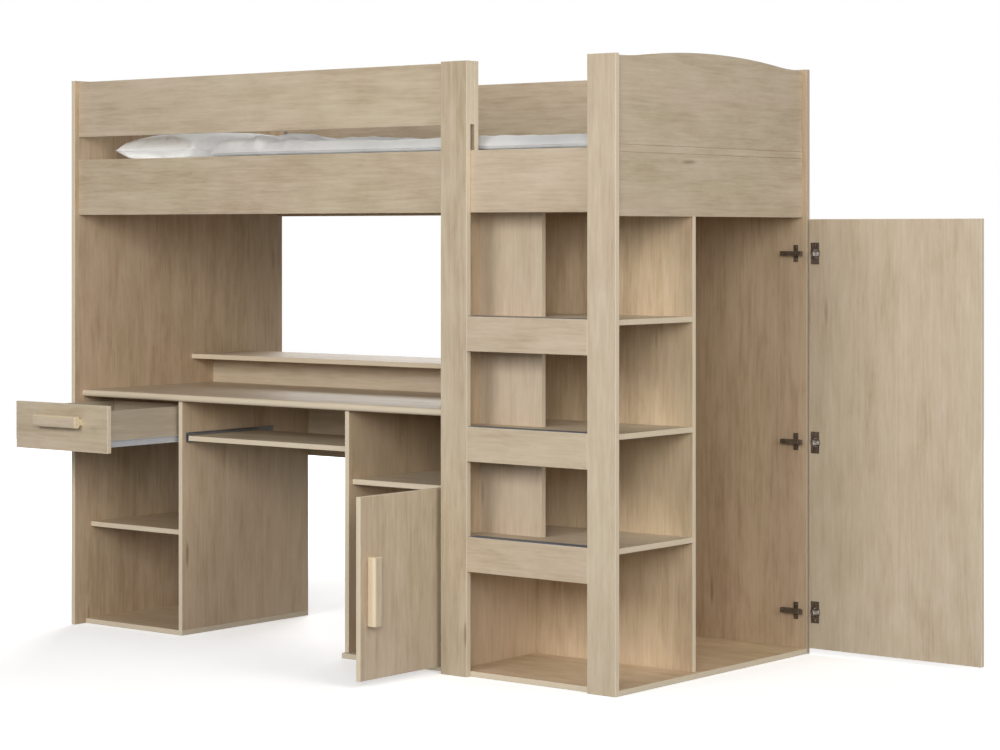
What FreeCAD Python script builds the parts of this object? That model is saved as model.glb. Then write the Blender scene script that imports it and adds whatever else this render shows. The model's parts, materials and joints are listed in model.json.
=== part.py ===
import FreeCAD, Part
import math
import os
import re
import Sketcher
from FreeCAD import Placement, Rotation, Vector

# Loft bed with a desk, a bookcase behind its ladder and a wardrobe.
# X runs along the bed, Y from its front to its rear, Z up. Lengths are in millimetres.
# Places are counted from the bed's front left floor corner, then moved so that the
# origin is under the middle of the whole, with its doors and drawer open as stored.

DIMS = {
    "bed_length": 2210, "bed_depth": 1000, "bed_height": 1780,
    "panel": 16, "plank": 18, "slab": 22, "ease": 0.8,
    "post_width": 98, "ladder_left": 1580,
    "rail_height": 180, "lower_rail_low": 1341, "guard_rail_low": 1596,
    "rung_height": 100, "first_tread": 405, "tread_step": 318,
    "grip_thick": 1.2, "grip_deep": 40, "grip_inset": 3,
    "unit_left": 1606, "unit_top": 1341, "divider_front": 400, "infill_front": 128, "infill_width": 232,
    "headboard_low": 1329, "headboard_end": 1777, "headboard_rise": 25,
    "shoulder": 30, "shoulder_radius": 900, "groove_wide": 3, "groove_deep": 2,
    "groove_low": 177, "groove_gap": 21,
    "desk_front": 34, "desk_rear": 638, "desk_top": 768, "desk_nose": 10,
    "back_board_low": 537, "back_board_top": 852, "riser_front": 534, "riser_deep": 300,
    "pedestal_front": 49, "left_pedestal_width": 448, "left_shelf_low": 317, "left_shelf_inset": 22,
    "right_pedestal_left": 1161, "right_pedestal_width": 419, "right_shelf_low": 523,
    "door_gap": 1.5, "pivot_inset": 2, "pedestal_door_low": 18, "pedestal_door_high": 520,
    "wardrobe_door_low": 18, "wardrobe_door_high": 1306, "wardrobe_door_width": 588,
    "wardrobe_pivot_side": 5.5, "wardrobe_pivot_rear": 4.5, "door_flush": 0.5,
    "cup_radius": 17.5, "cup_deep": 12, "cup_inset": 21.5, "cup_wall": 2, "cup_play": 0.1,
    "flange_thick": 1.2, "flange_wide": 29, "flange_high": 66,
    "cheek_thick": 2, "cheek_play": 0.5, "cheek_wide": 12, "cheek_long": 23, "cheek_out": 12,
    "cheek_near": 5, "cheek_far": 11,
    "arm_half": 7, "arm_proud": 18, "arm_long": 66, "arm_end": 20,
    "wing_wide": 16, "wing_high": 52, "wing_back": 47, "wing_thick": 2,
    "nose_back": 24, "nose_reach": 24, "nose_long": 16, "nose_thick": 10.5,
    "inset_arm_out": 16, "inset_arm_start": 25, "inset_arm_long": 76, "inset_wing_start": 70,
    "crank_out": 34, "crank_wide": 20, "crank_thick": 11,
    "inset_nose_start": 8, "inset_nose_long": 18, "inset_nose_thick": 10,
    "handle_long": 196, "handle_wide": 38, "handle_proud": 34, "handle_neck": 20,
    "handle_edge": 42, "drawer_handle_drop": 55, "pedestal_handle_low": 171,
    "grip_radius": 10, "grip_end_radius": 2.5, "bore_past_edge": 2, "groove_past_edge": 1,
    "rail_setback": 5, "mattress_radius": 25, "pillow_radius": 45, "duvet_radius": 18,
    "drawer_open": 302, "drawer_gap": 4, "drawer_front_low": 597, "drawer_front_high": 148,
    "drawer_long": 400, "drawer_side": 12, "drawer_side_low": 618, "drawer_side_high": 110,
    "drawer_base": 3, "drawer_base_lift": 8,
    "rail_space": 13, "rail_sheet": 1.2, "rail_lip": 8.5, "rail_nest": 3,
    "drawer_rail_low": 613, "drawer_rail_high": 26,
    "tray_front": 66, "tray_deep": 330, "tray_low": 620, "tray_rail_space": 12,
    "tray_rail_low": 614, "tray_rail_high": 32, "tray_rail_long": 400,
    "ledger_wide": 40, "ledger_high": 24, "ledger_low": 1361,
    "slat_wide": 70, "slat_thick": 18, "slat_inset": 20, "slat_end": 35, "slat_gap": 84.5,
    "mattress_long": 2000, "mattress_wide": 900, "mattress_thick": 120, "soft_gap": 0.5,
    "pillow_left": 60, "pillow_front": 100, "pillow_wide": 400, "pillow_long": 680, "pillow_thick": 105,
    "duvet_left": 540, "duvet_thick": 80,
    "cam_radius": 7.5, "cam_deep": 12.5, "cam_inset": 34, "cam_play": 0.1,
    "bolt_radius": 3, "bolt_grip": 10, "cam_low": 40, "cam_gap": 100,
}
WORD = re.compile(r"[a-z_]{4,}")

# Places that several pieces share, as formulas of the cells above.
WARDROBE_EDGE = "(bed_length - wardrobe_pivot_side - wardrobe_pivot_rear + panel + door_gap)"
MIDDLE_X = f"({WARDROBE_EDGE} + wardrobe_door_width) / 2"
PEDESTAL_DOOR_WIDTH = "(right_pedestal_width - 2 * panel - 2 * door_gap)"
OPEN_DOOR_FRONT = f"(pedestal_front + 2 * pivot_inset - {PEDESTAL_DOOR_WIDTH})"
WARDROBE_FACE = "(bed_depth - wardrobe_pivot_rear + wardrobe_pivot_side - door_flush - panel)"
MIDDLE_Y = f"({WARDROBE_FACE} + panel + handle_proud + {OPEN_DOOR_FRONT}) / 2"
REAR_PANEL_FRONT = "(bed_depth - panel)"
REAR_RAIL_FRONT = f"({REAR_PANEL_FRONT} - plank)"
LADDER_RIGHT = "(bed_length - post_width)"
POST_RIGHT = "(ladder_left + post_width)"
UNIT_INSIDE = "(unit_left + panel)"
HEADBOARD_INSIDE = "(bed_length - 2 * plank)"
HEADBOARD_FACE = "(bed_length - plank)"
DESK_UNDER = "(desk_top - slab)"
RIGHT_SIDE_IN = "(right_pedestal_left + right_pedestal_width - panel)"
DRAWER_FACE = "(pedestal_front - drawer_open)"
SLAT_TOP = "(ledger_low + ledger_high + slat_thick)"
MATTRESS_TOP = f"({SLAT_TOP} + mattress_thick)"
MATTRESS_LEFT = f"((panel + {HEADBOARD_INSIDE} - mattress_long) / 2)"
MATTRESS_FRONT = f"((3 * plank + {REAR_RAIL_FRONT} - mattress_wide) / 2)"

doc = FreeCAD.newDocument("LoftBed")
sheet = doc.addObject("Spreadsheet::Sheet", "Dims")
for row, (alias, number) in enumerate(DIMS.items(), 1):
    sheet.set(f"A{row}", alias)
    sheet.set(f"B{row}", str(number))
    sheet.setAlias(f"B{row}", alias)
doc.recompute()

subparts = []


def bind(thing, prop, formula):
    """Tie a property to the sheet; a bare number becomes a formula too."""
    thing.setExpression(prop, WORD.sub(lambda word: "Dims." + word[0], str(formula)))


def place(thing, at):
    """Put a piece's local origin at a place counted from the front left floor corner."""
    bind(thing, "Placement.Base.x", f"{at[0]} - {MIDDLE_X}")
    bind(thing, "Placement.Base.y", f"{at[1]} - {MIDDLE_Y}")
    bind(thing, "Placement.Base.z", at[2])


def keep(thing, label):
    """Name a finished piece and list it for export."""
    thing.Label = label
    subparts.append(thing)
    return thing


# ---- boards: PartDesign bodies whose local origin is their lowest corner ----

def new_sketch(body, plane, name, offset="0"):
    """A sketch on one of the body's own planes, moved along that plane's normal."""
    sketch = body.newObject("Sketcher::SketchObject", name)
    origin_plane = [f for f in body.Origin.OriginFeatures if f.Role == plane + "_Plane"][0]
    sketch.AttachmentSupport = [(origin_plane, "")]
    sketch.MapMode = "FlatFace"
    bind(sketch, "AttachmentOffset.Base.z", offset)
    return sketch


def draw_rectangle(sketch, long, high, corner=None):
    """A rectangle from the sketch's origin, or from a corner given by two formulas."""
    spots = [(0, 0), (50, 0), (50, 30), (0, 30)]
    for start, end in zip(spots, spots[1:] + spots[:1]):
        sketch.addGeometry(Part.LineSegment(Vector(*start, 0), Vector(*end, 0)))
    for line in range(4):
        sketch.addConstraint(Sketcher.Constraint("Coincident", line, 2, (line + 1) % 4, 1))
        sketch.addConstraint(Sketcher.Constraint(("Horizontal", "Vertical")[line % 2], line))
    if corner is None:
        sketch.addConstraint(Sketcher.Constraint("Coincident", 0, 1, -1, 1))
    else:
        for kind, formula in zip(("DistanceX", "DistanceY"), corner):
            index = sketch.addConstraint(Sketcher.Constraint(kind, -1, 1, 0, 1, 1))
            bind(sketch, f"Constraints[{index}]", formula)
    for kind, line, formula in (("DistanceX", 0, long), ("DistanceY", 1, high)):
        index = sketch.addConstraint(Sketcher.Constraint(kind, line, 1, line, 2, 10))
        bind(sketch, f"Constraints[{index}]", formula)


def draw_outline(sketch, corners):
    """A closed outline of straight lines through corners given as pairs of formulas."""
    count = len(corners)
    for line in range(count):
        turn = 2 * math.pi * line / count
        step = 2 * math.pi * (line + 1) / count
        start = Vector(100 + 50 * math.cos(turn), 100 + 50 * math.sin(turn), 0)
        end = Vector(100 + 50 * math.cos(step), 100 + 50 * math.sin(step), 0)
        sketch.addGeometry(Part.LineSegment(start, end))
    for line, corner in enumerate(corners):
        sketch.addConstraint(Sketcher.Constraint("Coincident", line, 2, (line + 1) % count, 1))
        for kind, axis, formula in zip(("DistanceX", "DistanceY"), (-2, -1), corner):
            if formula == "0":
                sketch.addConstraint(Sketcher.Constraint("PointOnObject", line, 1, axis))
                continue
            index = sketch.addConstraint(Sketcher.Constraint(kind, -1, 1, line, 1, 100))
            bind(sketch, f"Constraints[{index}]", formula)


def pad(body, sketch, plane, thick):
    """Pad a sketch towards the plane's positive axis."""
    feature = body.newObject("PartDesign::Pad", "Pad")
    feature.Profile = sketch
    feature.Reversed = plane == "XZ"
    bind(feature, "Length", thick)
    return feature


def ease(body, feature, size="ease"):
    """Take the sharp edges off a padded board."""
    chamfer = body.newObject("PartDesign::Chamfer", "Ease")
    chamfer.Base = (feature, [""])
    chamfer.UseAllEdges = True
    bind(chamfer, "Size", size)
    return chamfer


def board(label, at, size, plane="XY"):
    """A flat board with eased edges: drawn on its broad plane and padded by its thickness."""
    body = doc.addObject("PartDesign::Body", label)
    axes = {"XY": (0, 1, 2), "XZ": (0, 2, 1), "YZ": (1, 2, 0)}[plane]
    sketch = new_sketch(body, plane, label + "_outline")
    draw_rectangle(sketch, size[axes[0]], size[axes[1]])
    ease(body, pad(body, sketch, plane, size[axes[2]]))
    place(body, at)
    return keep(body, label)


def shaped_board(label, at, corners, thick, plane):
    """A board with an outline of its own, padded by its thickness, with eased edges."""
    body = doc.addObject("PartDesign::Body", label)
    sketch = new_sketch(body, plane, label + "_outline")
    draw_outline(sketch, corners)
    ease(body, pad(body, sketch, plane, thick))
    place(body, at)
    return keep(body, label)


def pocket(body, sketch, depth, towards_normal):
    """Cut a sketch into the board, along the plane's normal or against it."""
    feature = body.newObject("PartDesign::Pocket", "Pocket")
    feature.Profile = sketch
    feature.Reversed = towards_normal
    bind(feature, "Length", depth)
    pockets.append(feature)


def drill(body, plane, offset, towards_normal, spots, radius, depth):
    """Blind round holes at spots given as pairs of formulas on the sketch plane."""
    sketch = new_sketch(body, plane, body.Name + "_holes", offset)
    for circle, spot in enumerate(spots):
        sketch.addGeometry(Part.Circle(Vector(20, 20, 0), Vector(0, 0, 1), 5))
        for kind, formula in zip(("DistanceX", "DistanceY"), spot):
            index = sketch.addConstraint(Sketcher.Constraint(kind, -1, 1, circle, 3, 20))
            bind(sketch, f"Constraints[{index}]", formula)
        index = sketch.addConstraint(Sketcher.Constraint("Radius", circle, 5))
        bind(sketch, f"Constraints[{index}]", radius)
    pocket(body, sketch, depth, towards_normal)


pockets = []


# ---- small parts: boxes and cylinders joined by booleans ----

def block(at, size):
    """A box between formulas for its lowest corner and its size."""
    box = doc.addObject("Part::Box", "Block")
    for prop, formula in zip(("Length", "Width", "Height"), size):
        bind(box, prop, formula)
    place(box, at)
    return box


def rod(at, direction, radius, length):
    """A cylinder from a place, along a direction."""
    cylinder = doc.addObject("Part::Cylinder", "Rod")
    cylinder.Placement = Placement(Vector(), Rotation(Vector(0, 0, 1), direction))
    bind(cylinder, "Radius", radius)
    bind(cylinder, "Height", length)
    place(cylinder, at)
    return cylinder


def joined(pieces, kind="Part::MultiFuse"):
    """Several shapes fused into one solid."""
    fuse = doc.addObject(kind, "Joined")
    fuse.Shapes = pieces
    return fuse


def cut(base, tool):
    """One shape with another taken out of it."""
    result = doc.addObject("Part::Cut", "Trimmed")
    result.Base = base
    result.Tool = tool
    return result


def group(label, pieces):
    """Identical pieces kept as separate solids in one node."""
    compound = doc.addObject("Part::Compound", label)
    compound.Links = pieces
    return keep(compound, label)


# ---- end panels, posts and rails ----

CAM_HEIGHTS = ("cam_low", "(cam_low + cam_gap)")
BOLT_HOLE = "bolt_radius + cam_play"
BORE_DEEP = "cam_inset - cam_radius + bore_past_edge"


def rail_axes():
    """The middles of the front and rear rails, across the bed."""
    return ("1.5 * plank", f"({REAR_RAIL_FRONT} + plank / 2)")


def make_end_panel():
    """The left end panel, with holes for the rails' cam bolts."""
    panel = board("left_end_panel", ("0", "0", "0"), ("panel", REAR_PANEL_FRONT, "bed_height"), "YZ")
    holes = [(y, f"{low} + {lift}") for y in rail_axes()
             for low in ("lower_rail_low", "guard_rail_low") for lift in CAM_HEIGHTS]
    drill(panel, "YZ", "panel", False, holes, BOLT_HOLE, "bolt_grip + cam_play")


def make_rail(label, front, low, right_end, inner_is_rear, cams_right):
    """A long rail, with cam pockets in its inner face and bolt holes in its ends."""
    long = f"({right_end} - panel)"
    rail = board(label, ("panel", front, low), (long, "plank", "rail_height"), "XZ")
    ends = ["cam_inset"] + [f"({long} - cam_inset)"] * cams_right
    spots = [(x, z) for x in ends for z in CAM_HEIGHTS]
    offset = "-plank" if inner_is_rear else "0"
    drill(rail, "XZ", offset, inner_is_rear, spots, "cam_radius + cam_play", "cam_deep + cam_play")
    bores = [("plank / 2", z) for z in CAM_HEIGHTS]
    drill(rail, "YZ", "0", True, bores, BOLT_HOLE, BORE_DEEP)
    if cams_right:
        drill(rail, "YZ", long, False, bores, BOLT_HOLE, BORE_DEEP)


def make_cams():
    """Cam discs in the rails' inner faces, and the bolts they draw into the end boards."""
    discs = []
    bolts = []
    bolt_long = "bolt_grip + cam_inset - cam_radius - cam_play"
    faces = (("2 * plank - cam_deep", Vector(0, 1, 0)), (REAR_RAIL_FRONT, Vector(0, 1, 0)))
    for row, (face, axis_y) in enumerate(zip(faces, rail_axes())):
        for low in ("lower_rail_low", "guard_rail_low"):
            right_too = not (row == 0 and low == "guard_rail_low")
            for lift in CAM_HEIGHTS:
                z = f"{low} + {lift}"
                discs.append(rod(("panel + cam_inset", face[0], z), face[1], "cam_radius", "cam_deep"))
                bolts.append(rod(("panel - bolt_grip", axis_y, z), Vector(1, 0, 0),
                                 "bolt_radius", bolt_long))
                if right_too:
                    x = f"{HEADBOARD_INSIDE} - cam_inset"
                    discs.append(rod((x, face[0], z), face[1], "cam_radius", "cam_deep"))
                    x = f"{HEADBOARD_INSIDE} + bolt_grip"
                    bolts.append(rod((x, axis_y, z), Vector(-1, 0, 0), "bolt_radius", bolt_long))
    group("cam_locks", discs)
    group("cam_bolts", bolts)


def make_headboard():
    """The end board over the wardrobe: a low arch with flat shoulders and two grooves."""
    body = doc.addObject("PartDesign::Body", "end_headboard")
    sketch = new_sketch(body, "YZ", "end_headboard_outline")
    wide = value("bed_depth") - value("panel") - value("plank")
    low = value("headboard_end") - value("headboard_low")
    rise = value("headboard_rise")
    shoulder = value("shoulder")
    half = wide / 2 - shoulder
    turn = 2 * math.atan(rise / half)
    small = value("shoulder_radius")
    large = half / math.sin(turn) - small
    up = math.pi / 2
    sketch.addGeometry(Part.LineSegment(Vector(0, 0, 0), Vector(wide, 0, 0)))
    sketch.addGeometry(Part.LineSegment(Vector(wide, 0, 0), Vector(wide, low, 0)))
    sketch.addGeometry(Part.LineSegment(Vector(wide, low, 0), Vector(wide - shoulder, low, 0)))
    right = Part.Circle(Vector(wide - shoulder, low + small, 0), Vector(0, 0, 1), small)
    sketch.addGeometry(Part.ArcOfCircle(right, -up - turn, -up))
    arch = Part.Circle(Vector(wide / 2, low + rise - large, 0), Vector(0, 0, 1), large)
    sketch.addGeometry(Part.ArcOfCircle(arch, up - turn, up + turn))
    left = Part.Circle(Vector(shoulder, low + small, 0), Vector(0, 0, 1), small)
    sketch.addGeometry(Part.ArcOfCircle(left, -up, -up + turn))
    sketch.addGeometry(Part.LineSegment(Vector(shoulder, low, 0), Vector(0, low, 0)))
    sketch.addGeometry(Part.LineSegment(Vector(0, low, 0), Vector(0, 0, 0)))
    joints = ((0, 2, 1, 1), (1, 2, 2, 1), (2, 2, 3, 2), (3, 1, 4, 1), (4, 2, 5, 2), (5, 1, 6, 1),
              (6, 2, 7, 1), (7, 2, 0, 1))
    for first, first_end, second, second_end in joints:
        sketch.addConstraint(Sketcher.Constraint("Coincident", first, first_end, second, second_end))
    ease(body, pad(body, sketch, "YZ", "plank"))
    for lift in ("groove_low", "(groove_low + groove_gap)"):
        groove = new_sketch(body, "YZ", "groove", "plank")
        draw_rectangle(groove, f"{REAR_PANEL_FRONT} - plank + 2 * groove_past_edge", "groove_wide",
                       ("-groove_past_edge", lift))
        pocket(body, groove, "groove_deep", False)
    lift = "lower_rail_low - headboard_low"
    guard = "guard_rail_low - headboard_low"
    front, rear = "plank / 2", f"{REAR_RAIL_FRONT} - plank / 2"
    spots = [(y, f"{lift} + {z}") for y in (front, rear) for z in CAM_HEIGHTS]
    spots += [(rear, f"{guard} + {z}") for z in CAM_HEIGHTS]
    drill(body, "YZ", "0", True, spots, BOLT_HOLE, "bolt_grip + cam_play")
    place(body, (HEADBOARD_INSIDE, "plank", "headboard_low"))
    keep(body, "end_headboard")


def value(alias):
    """The number in a cell."""
    return float(sheet.get(alias))


def make_frame():
    """Everything that holds the bed up and keeps its sleeper in."""
    make_end_panel()
    post = ("post_width", "plank", "bed_height")
    board("ladder_left_post", ("ladder_left", "0", "0"), post, "XZ")
    board("ladder_right_post", (LADDER_RIGHT, "0", "0"), post, "XZ")
    board("ladder_inner_upright", ("ladder_left", "2 * plank", "unit_top + panel"),
          ("post_width", "plank", "bed_height - unit_top - panel"), "XZ")
    make_rail("front_lower_rail", "plank", "lower_rail_low", HEADBOARD_INSIDE, True, 1)
    make_rail("front_guard_rail", "plank", "guard_rail_low", POST_RIGHT, True, 0)
    make_rail("rear_lower_rail", REAR_RAIL_FRONT, "lower_rail_low", HEADBOARD_INSIDE, False, 1)
    make_rail("rear_guard_rail", REAR_RAIL_FRONT, "guard_rail_low", HEADBOARD_INSIDE, False, 1)
    make_headboard()
    make_cams()


# ---- ladder, bookcase and wardrobe ----

def tread_top(step):
    """Height of a tread, counted from the lowest."""
    return f"(first_tread + {step} * tread_step)"


def make_ladder():
    """Rungs between the posts, level with the shelves behind, and their grip strips."""
    wide = f"({LADDER_RIGHT} - {POST_RIGHT})"
    strips = []
    for step in range(3):
        top = tread_top(step)
        board(f"ladder_rung_{step + 1}", (POST_RIGHT, "0", f"{top} - rung_height"),
              (wide, "plank", "rung_height"), "XZ")
        strips.append(block((f"{POST_RIGHT} + grip_inset", "grip_inset", top),
                            (f"{wide} - 2 * grip_inset", "grip_deep", "grip_thick")))
    group("tread_grip_strips", strips)


def make_unit():
    """The carcass under the ladder end: bookcase in front, wardrobe behind.

    Its top board lies on the side and the divider, inside the bed's rails.
    """
    side_deep = f"({REAR_PANEL_FRONT} - plank)"
    high = "(unit_top - panel)"
    board("unit_left_side", ("unit_left", "plank", "panel"), ("panel", side_deep, high), "YZ")
    board("unit_base", ("unit_left", "plank", "0"), ("bed_length - unit_left", side_deep, "panel"))
    board("unit_top_board", ("unit_left", "2 * plank", "unit_top"),
          (f"{HEADBOARD_INSIDE} - unit_left", f"{REAR_RAIL_FRONT} - 2 * plank", "panel"))
    long = f"{HEADBOARD_FACE} - {UNIT_INSIDE}"
    under, notch = "headboard_low - panel", f"{HEADBOARD_INSIDE} - {UNIT_INSIDE}"
    corners = [("0", "0"), (long, "0"), (long, under), (notch, under), (notch, high), ("0", high)]
    shaped_board("bookcase_divider", (UNIT_INSIDE, "divider_front", "panel"), corners, "panel", "XZ")
    board("wardrobe_rear_panel", ("unit_left", REAR_PANEL_FRONT, "0"),
          ("bed_length - unit_left", "panel", "bed_height"), "XZ")
    for step in range(3):
        board(f"bookcase_shelf_{step + 1}", (UNIT_INSIDE, "plank", f"{tread_top(step)} - panel"),
              (long, "divider_front - plank", "panel"))
    infills = []
    for step in range(3):
        above = f"({tread_top(step + 1)} - panel)" if step < 2 else "unit_top"
        infills.append(block((UNIT_INSIDE, "infill_front", tread_top(step)),
                             ("infill_width", "panel", f"{above} - {tread_top(step)}")))
    group("ladder_infill_panels", infills)


# ---- desk and its two pedestals ----

def make_desk():
    """Desk top with a rounded nose, its back board and the riser shelf."""
    body = doc.addObject("PartDesign::Body", "desk_top")
    sketch = new_sketch(body, "XY", "desk_top_outline")
    draw_rectangle(sketch, "unit_left - panel", "desk_rear - desk_front")
    slab = pad(body, sketch, "XY", "slab")
    doc.recompute()
    nose = [f"Edge{number}" for number, edge in enumerate(slab.Shape.Edges, 1)
            if edge.BoundBox.XLength > 1 and edge.BoundBox.YMax < 1]
    fillet = body.newObject("PartDesign::Fillet", "Nose")
    fillet.Base = (slab, nose)
    bind(fillet, "Radius", "desk_nose")
    place(body, ("panel", "desk_front", DESK_UNDER))
    keep(body, "desk_top")
    board("desk_back_board", ("panel", "desk_rear", "back_board_low"),
          ("unit_left - panel", "panel", "back_board_top - back_board_low"), "XZ")
    board("desk_riser_shelf", ("panel", "riser_front", "back_board_top"),
          ("unit_left - panel", "riser_deep", "panel"))


def make_left_pedestal():
    """One side, a floor and a shelf; the end panel is its other side."""
    deep = "(desk_rear - pedestal_front)"
    board("left_pedestal_side", ("left_pedestal_width", "pedestal_front", "panel"),
          ("panel", deep, f"{DESK_UNDER} - panel"), "YZ")
    board("left_pedestal_base", ("panel", "pedestal_front", "0"), ("left_pedestal_width", deep, "panel"))
    board("left_pedestal_shelf", ("panel", "pedestal_front + left_shelf_inset", "left_shelf_low"),
          ("left_pedestal_width - panel", f"{deep} - left_shelf_inset", "panel"))


def make_right_pedestal():
    """Two sides, a floor and a shelf, with a cupboard door under the shelf."""
    deep = "(desk_rear - pedestal_front)"
    side = ("panel", deep, f"{DESK_UNDER} - panel")
    behind_door = "(pedestal_front + panel + door_gap)"
    inside = "(right_pedestal_left + panel)"
    board("right_pedestal_left_side", ("right_pedestal_left", "pedestal_front", "panel"), side, "YZ")
    board("right_pedestal_right_side", (RIGHT_SIDE_IN, "pedestal_front", "panel"), side, "YZ")
    board("right_pedestal_base", ("right_pedestal_left", "desk_front", "0"),
          ("right_pedestal_width", "desk_rear - desk_front", "panel"))
    board("right_pedestal_shelf", (inside, behind_door, "right_shelf_low"),
          ("right_pedestal_width - 2 * panel", f"desk_rear - {behind_door}", "panel"))


# ---- doors, their handles and their hinges ----

def make_handle(label, at, rotation):
    """A wooden bar handle: a rounded grip on a narrower neck, drawn end-on."""
    body = doc.addObject("PartDesign::Body", label)
    sketch = new_sketch(body, "XY", label + "_profile")
    edge = "(handle_wide - handle_neck) / 2"
    draw_outline(sketch, [(edge, "0"), (f"{edge} + handle_neck", "0"),
                          (f"{edge} + handle_neck", "0.35 * handle_proud"),
                          ("handle_wide", "0.5 * handle_proud"), ("handle_wide", "handle_proud"),
                          ("0", "handle_proud"), ("0", "0.5 * handle_proud"),
                          (edge, "0.35 * handle_proud")])
    bar = pad(body, sketch, "XY", "handle_long")
    doc.recompute()
    grip = value("handle_proud")
    outer = [f"Edge{number}" for number, edge in enumerate(bar.Shape.Edges, 1)
             if edge.BoundBox.ZLength > 1 and edge.BoundBox.YMin > grip - 1]
    rounding = body.newObject("PartDesign::Fillet", "Grip")
    rounding.Base = (bar, outer)
    bind(rounding, "Radius", "grip_radius")
    doc.recompute()
    ends = [f"Edge{number}" for number, edge in enumerate(rounding.Shape.Edges, 1)
            if edge.BoundBox.ZLength < 0.01 and edge.BoundBox.YMax > 0.4 * grip
            and edge.BoundBox.YMin > 0.45 * grip]
    softening = body.newObject("PartDesign::Fillet", "Ends")
    softening.Base = (rounding, ends)
    bind(softening, "Radius", "grip_end_radius")
    body.Placement = Placement(Vector(), rotation)
    place(body, at)
    keep(body, label)


def make_hinge_cup(bore, inward, flange_at, flange_size, cheek_boxes):
    """A hinge cup with its flange and two cheeks: bore is the cup's centre on the door face."""
    shell = joined([rod(bore, inward, "cup_radius", "cup_deep"), block(flange_at, flange_size)])
    back = tuple(f"{coordinate} - {2 * component:.0f}" for coordinate, component in zip(bore, inward))
    hollow = rod(back, inward, "cup_radius - cup_wall", "cup_deep + 1")
    return joined([cut(shell, hollow)] + [block(*box) for box in cheek_boxes])


def hinge_heights(low, high, edges):
    """Heights of a door's hinges: one near each end, and any between."""
    return [f"{low} + {edge} * {high}" for edge in edges]


WARDROBE_HINGES = hinge_heights("wardrobe_door_low", "wardrobe_door_high", (0.085, 0.48, 0.92))
CHEEK_SIDES = ("+ arm_half + cheek_play", "- arm_half - cheek_play - cheek_thick")
PEDESTAL_HINGES = hinge_heights("pedestal_door_low", "pedestal_door_high", (0.14, 0.84))


def make_wardrobe_door():
    """The wardrobe door, standing open square to the carcass, with its handle and hinges."""
    door = board("wardrobe_door", (WARDROBE_EDGE, WARDROBE_FACE, "wardrobe_door_low"),
                 ("wardrobe_door_width", "panel", "wardrobe_door_high"), "XZ")
    spots = [("cup_inset", f"{z} - wardrobe_door_low") for z in WARDROBE_HINGES]
    drill(door, "XZ", "0", False, spots, "cup_radius + cup_play", "cup_deep + cup_play")
    make_handle("wardrobe_door_handle",
                (f"{WARDROBE_EDGE} + wardrobe_door_width - handle_edge - handle_wide / 2",
                 f"{WARDROBE_FACE} + panel", "wardrobe_door_high / 2"),
                Rotation(Vector(1, 0, 0), Vector(0, 1, 0), Vector(0, 0, 1), "XYZ"))
    cups = []
    arms = []
    centre = f"({WARDROBE_EDGE} + cup_inset)"
    back = REAR_PANEL_FRONT
    for z in WARDROBE_HINGES:
        flange_at = (f"{centre} - flange_wide / 2", f"{WARDROBE_FACE} - flange_thick",
                     f"{z} - flange_high / 2")
        flange_size = ("flange_wide", "flange_thick", "flange_high")
        cheeks = [((f"{centre} - cheek_near", f"{WARDROBE_FACE} - cheek_out", f"{z} {side}"),
                   ("cheek_wide", "cheek_long", "cheek_thick")) for side in CHEEK_SIDES]
        cups.append(make_hinge_cup((centre, WARDROBE_FACE, z), Vector(0, 1, 0),
                                   flange_at, flange_size, cheeks))
        plate = block(("bed_length - wing_back", f"{back} - wing_thick", f"{z} - wing_high / 2"),
                      ("wing_wide", "wing_thick", "wing_high"))
        arm = block(("bed_length - arm_end - arm_long", f"{back} - arm_proud", f"{z} - arm_half"),
                    ("arm_long", "arm_proud", "2 * arm_half"))
        nose = block(("bed_length - nose_back", f"{back} - nose_reach", f"{z} - arm_half"),
                     ("nose_long", "nose_thick", "2 * arm_half"))
        arms.append(joined([plate, arm, nose]))
    group("wardrobe_hinge_cups", cups)
    group("wardrobe_hinge_arms", arms)


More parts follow.
